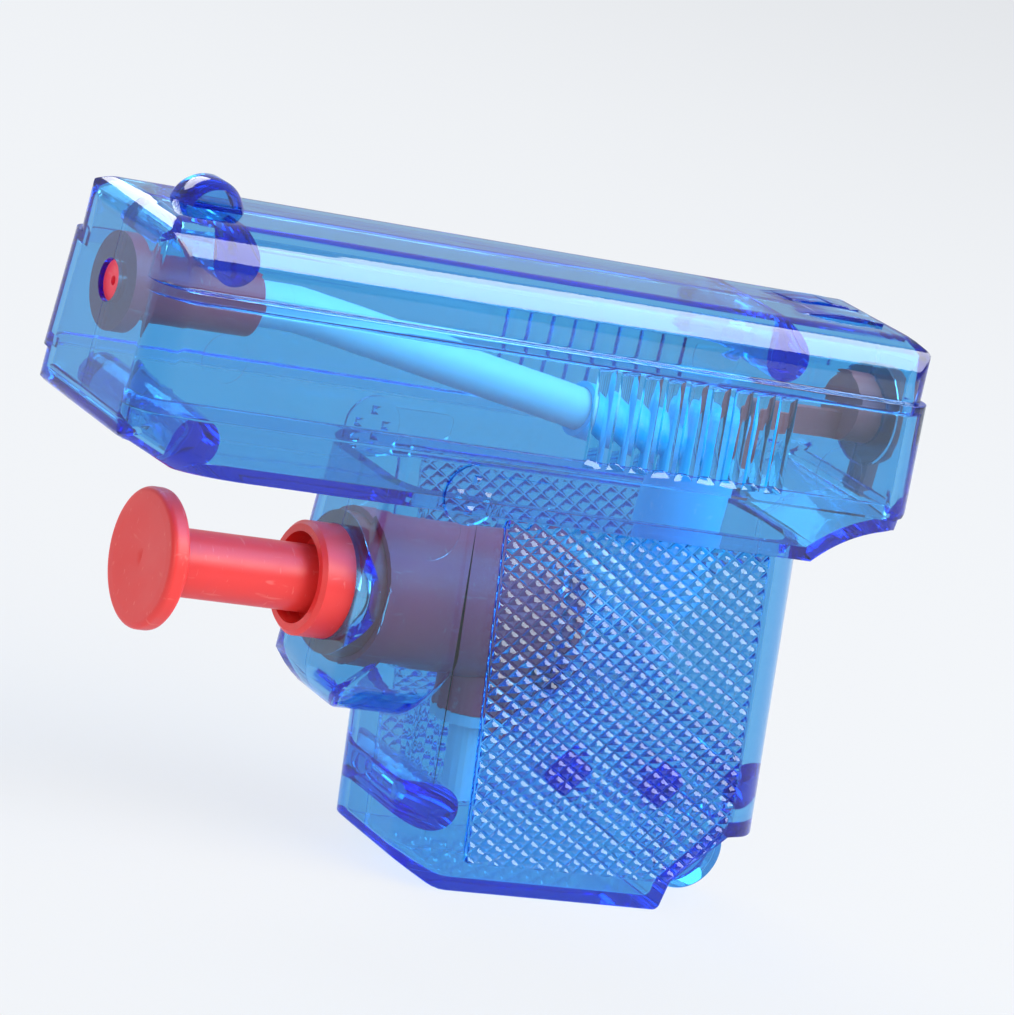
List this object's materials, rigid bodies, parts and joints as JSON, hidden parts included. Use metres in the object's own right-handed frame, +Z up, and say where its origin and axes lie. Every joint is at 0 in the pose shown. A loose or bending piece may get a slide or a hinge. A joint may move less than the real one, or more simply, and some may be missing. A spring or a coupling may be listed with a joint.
{
  "type": "water squirter",
  "caption": "Pocket water squirter toy: clear two-half body as the tank, push plunger, piston pump with ball valves, delivery tube, nozzle and filler plug.",
  "frame": {"origin": "On the ground plane under the middle of the overall length, in the joint plane between the two halves", "axes": "+X from the muzzle to the rear, +Y to the right half, +Z up from the foot of the grip"},
  "size_m": [0.0878, 0.0234, 0.063],
  "materials": {
    "clear_blue": "clear tinted moulding, polished",
    "red_plastic": "satin moulding",
    "red_soft_plastic": "soft satin moulding",
    "milky_tube": "milky soft tube",
    "milky_plastic": "natural satin moulding",
    "cyan_plastic": "satin moulding",
    "black_rubber": "smooth rubber",
    "spring_steel": "drawn wire",
    "ball_steel": "polished ball"
  },
  "bodies": {
    "squirter_body": {"left_shell": "clear_blue", "right_shell": "clear_blue", "nozzle_barrel": "red_plastic", "delivery_tube": "milky_tube", "pump_cylinder": "red_plastic", "gland_collar": "red_plastic", "return_spring": "spring_steel", "inlet_valve_body": "milky_plastic", "suction_tube": "milky_tube", "outlet_elbow": "milky_plastic", "outlet_connector": "cyan_plastic"},
    "push_plunger": {"plunger": "red_plastic", "piston_seal": "black_rubber"},
    "inlet_valve_ball": {"inlet_ball": "ball_steel"},
    "outlet_valve_ball": {"outlet_ball": "ball_steel"},
    "fill_plug": {"filler_plug": "red_soft_plastic"}
  },
  "joints": [
    {"name": "plunger_slide", "type": "slide", "parent": "squirter_body", "child": "push_plunger", "axis": [1, 0, 0], "range_m": [0, 0.009], "stiffness_N_per_m": 120, "springref_m": -0.005, "deforming": ["return_spring"]},
    {"name": "inlet_ball_lift", "type": "slide", "parent": "squirter_body", "child": "inlet_valve_ball", "axis": [-0.1045, 0, 0.9945], "range_m": [0, 0.0008]},
    {"name": "outlet_ball_lift", "type": "slide", "parent": "squirter_body", "child": "outlet_valve_ball", "axis": [0, 0, 1], "range_m": [0, 0.0008]},
    {"name": "filler_plug_pull", "type": "slide", "parent": "squirter_body", "child": "fill_plug", "axis": [1, 0, 0], "range_m": [0, 0.0105]}
  ]
}
